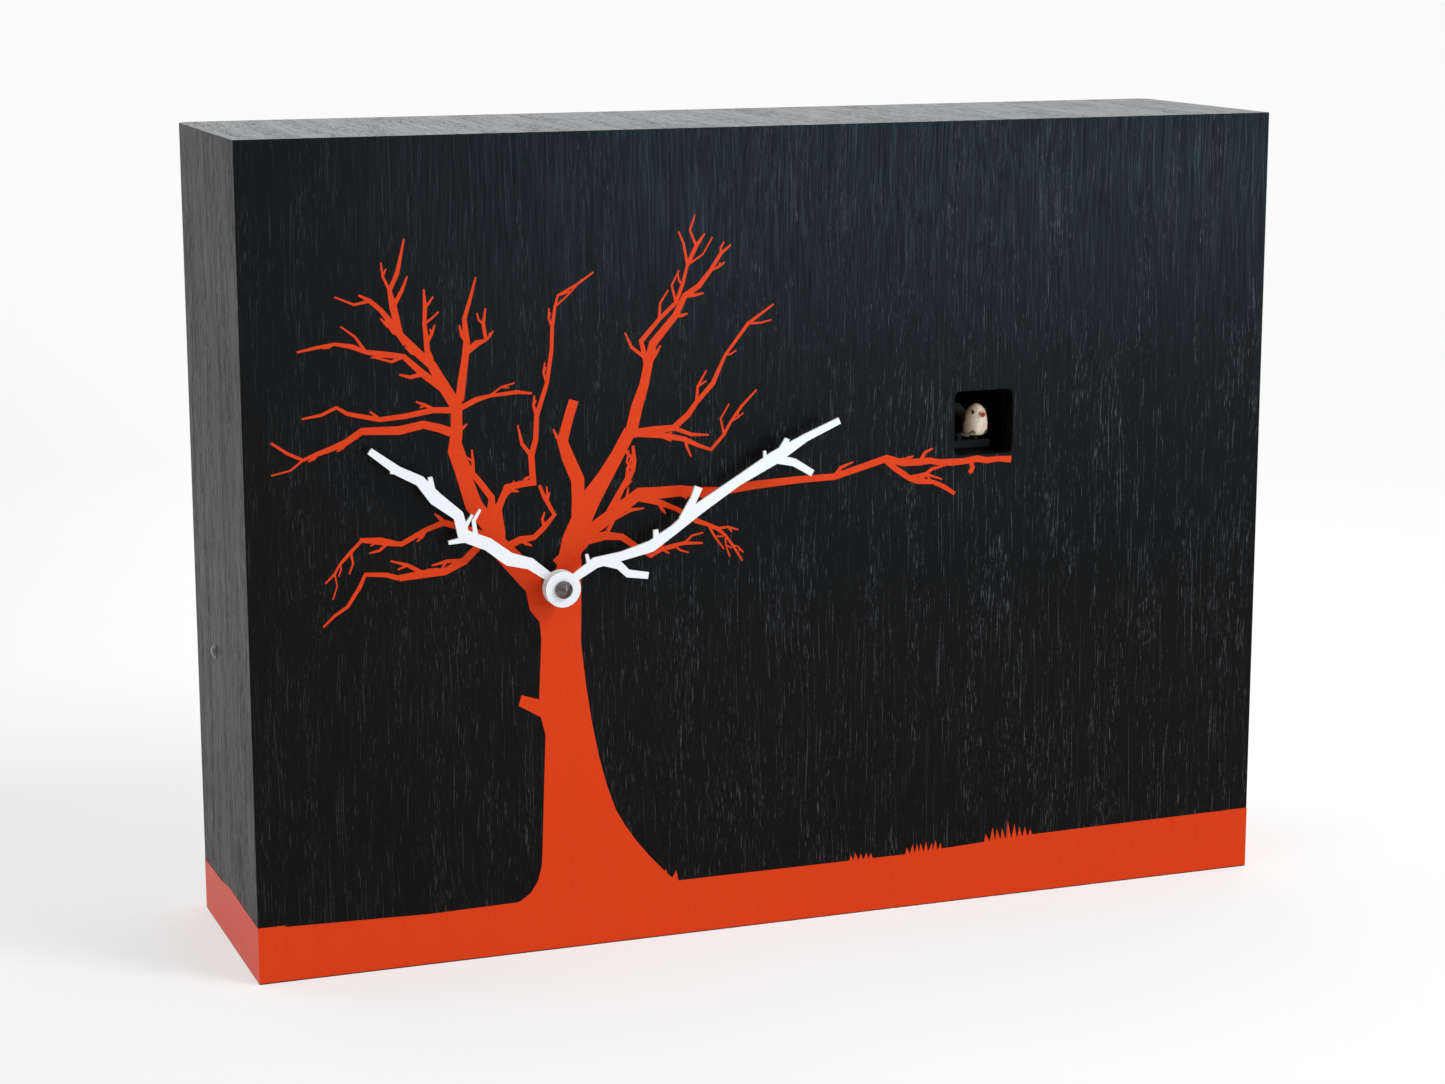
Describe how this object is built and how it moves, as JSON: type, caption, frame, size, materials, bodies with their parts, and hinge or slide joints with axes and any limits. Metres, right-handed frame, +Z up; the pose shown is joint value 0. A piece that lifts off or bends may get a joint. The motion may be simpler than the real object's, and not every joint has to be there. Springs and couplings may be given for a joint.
{
  "type": "cuckoo wall clock",
  "caption": "Flat box wall clock with a printed bare tree, branch-shaped hands and a small bird that slides out of a square window.",
  "frame": {"origin": "middle of the flat underside of the case", "axes": "+X to the right seen from the front, +Y towards the wall, +Z up"},
  "size_m": [0.3627, 0.1022, 0.27],
  "materials": {
    "black_veneer": "open-pored wood veneer under black satin lacquer",
    "orange_ink": "thin satin ink printed over the veneer",
    "hardboard": "plain brown hardboard",
    "softwood": "sawn softwood",
    "steel": "bright zinc-plated steel",
    "dark_chrome": "dark polished turned metal",
    "brass": "turned brass",
    "copper": "enamelled copper wire",
    "white_paint": "satin white paint on sheet metal",
    "black_plastic": "fine-textured black moulding",
    "grey_plastic": "fine-textured grey moulding",
    "white_plastic": "natural white acetal moulding",
    "green_board": "green circuit board lacquer",
    "cell_skin": "plain printed film over a steel can",
    "clear_lens": "clear moulded dome",
    "bird_paint": "hand-painted cream and brown",
    "bird_wood": "painted beige-brown",
    "lead_skin": "soft grey cable sheath"
  },
  "bodies": {
    "case": {"front_panel": "black_veneer", "left_panel": "black_veneer", "right_panel": "black_veneer", "top_panel": "black_veneer", "bottom_panel": "black_veneer", "back_cover": "hardboard", "hanging_rail": "softwood", "corner_block_left": "softwood", "corner_block_right": "softwood", "hanger_plate_left": "steel", "hanger_plate_right": "steel", "cover_screw_upper_left": "steel", "cover_screw_upper_right": "steel", "cover_screw_lower_left": "steel", "cover_screw_lower_right": "steel", "tree_print": "orange_ink", "movement_base": "black_plastic", "movement_cover": "black_plastic", "stator": "steel", "coil": "copper", "movement_board": "green_board", "dial_washer": "steel", "fixing_nut": "brass", "movement_cell": "cell_skin", "bird_hood": "black_plastic", "mechanism_plate": "grey_plastic", "bird_motor": "steel", "control_box": "black_plastic", "control_board": "green_board", "control_cell_upper": "cell_skin", "control_cell_lower": "cell_skin", "loudspeaker": "steel", "light_sensor": "clear_lens", "sensor_lead": "lead_skin", "clock_lead": "lead_skin", "motor_lead": "lead_skin", "speaker_lead": "lead_skin"},
    "minute_hand": {"minute_hand": "white_paint", "hand_nut": "dark_chrome", "minute_arbor": "brass"},
    "hour_hand": {"hour_hand": "white_paint", "hour_wheel": "white_plastic"},
    "motion_wheel": {"motion_wheel": "white_plastic"},
    "setting_knob": {"setting_knob": "white_plastic"},
    "third_wheel": {"third_wheel": "white_plastic"},
    "intermediate_wheel": {"intermediate_wheel": "white_plastic"},
    "rotor": {"rotor": "steel"},
    "carriage": {"bird_carriage": "black_plastic"},
    "bird": {"bow_lever": "bird_wood", "bird_body": "bird_paint", "bird_tail": "bird_wood"},
    "drive_gear": {"drive_gear": "white_plastic"},
    "motor_pinion": {"motor_pinion": "brass"},
    "cell_door": {"cell_door": "black_plastic"},
    "volume_switch": {"volume_switch": "grey_plastic"},
    "mode_switch": {"mode_switch": "grey_plastic"},
    "test_button": {"test_button": "grey_plastic"}
  },
  "joints": [
    {"name": "minute_turn", "type": "hinge", "parent": "case", "child": "minute_hand", "pos_m": [-0.079, -0.05, 0.124], "axis": [0, 1, 0], "continuous": true},
    {"name": "hour_turn", "type": "hinge", "parent": "case", "child": "hour_hand", "pos_m": [-0.079, -0.05, 0.124], "axis": [0, 1, 0], "continuous": true},
    {"name": "motion_turn", "type": "hinge", "parent": "case", "child": "motion_wheel", "pos_m": [-0.09082, -0.033, 0.12608], "axis": [0, 1, 0], "continuous": true},
    {"name": "knob_turn", "type": "hinge", "parent": "case", "child": "setting_knob", "pos_m": [-0.09885, -0.03, 0.11717], "axis": [0, 1, 0], "continuous": true},
    {"name": "third_turn", "type": "hinge", "parent": "case", "child": "third_wheel", "pos_m": [-0.08319, -0.029, 0.13551], "axis": [0, 1, 0], "continuous": true},
    {"name": "intermediate_turn", "type": "hinge", "parent": "case", "child": "intermediate_wheel", "pos_m": [-0.07285, -0.027, 0.13733], "axis": [0, 1, 0], "continuous": true},
    {"name": "rotor_turn", "type": "hinge", "parent": "case", "child": "rotor", "pos_m": [-0.06568, -0.025, 0.13232], "axis": [0, 1, 0], "continuous": true},
    {"name": "bird_slide", "type": "slide", "parent": "case", "child": "carriage", "axis": [0, -1, 0], "range_m": [0, 0.02]},
    {"name": "drive_turn", "type": "hinge", "parent": "case", "child": "drive_gear", "pos_m": [0.0828, 0.003, 0.16], "axis": [0, 0, 1], "range_deg": [0, 239]},
    {"name": "motor_turn", "type": "hinge", "parent": "case", "child": "motor_pinion", "pos_m": [0.0943, 0.003, 0.16], "axis": [0, 0, 1], "range_deg": [-860, 0]},
    {"name": "bird_bow", "type": "hinge", "parent": "carriage", "child": "bird", "pos_m": [0.0735, -0.031, 0.1619], "axis": [1, 0, 0], "range_deg": [0, 20]},
    {"name": "cell_door_hinge", "type": "hinge", "parent": "case", "child": "cell_door", "pos_m": [0.056, -0.0092, 0.0426], "axis": [-1, 0, 0], "range_deg": [0, 100]},
    {"name": "volume_slide", "type": "slide", "parent": "case", "child": "volume_switch", "axis": [1, 0, 0], "range_m": [0, 0.006]},
    {"name": "mode_slide", "type": "slide", "parent": "case", "child": "mode_switch", "axis": [1, 0, 0], "range_m": [0, 0.006]},
    {"name": "test_press", "type": "slide", "parent": "case", "child": "test_button", "axis": [0, -1, 0], "range_m": [0, 0.0015], "stiffness_N_per_m": 400}
  ],
  "couplings": [
    {"joint": "hour_turn", "follows": "minute_turn", "ratio": 0.083333},
    {"joint": "motion_turn", "follows": "minute_turn", "ratio": -0.33333},
    {"joint": "knob_turn", "follows": "minute_turn", "ratio": 1},
    {"joint": "third_turn", "follows": "minute_turn", "ratio": -6},
    {"joint": "intermediate_turn", "follows": "minute_turn", "ratio": 30},
    {"joint": "rotor_turn", "follows": "minute_turn", "ratio": -120},
    {"joint": "drive_turn", "follows": "bird_slide", "rad_per_m": 208.33},
    {"joint": "motor_turn", "follows": "bird_slide", "rad_per_m": -750}
  ]
}
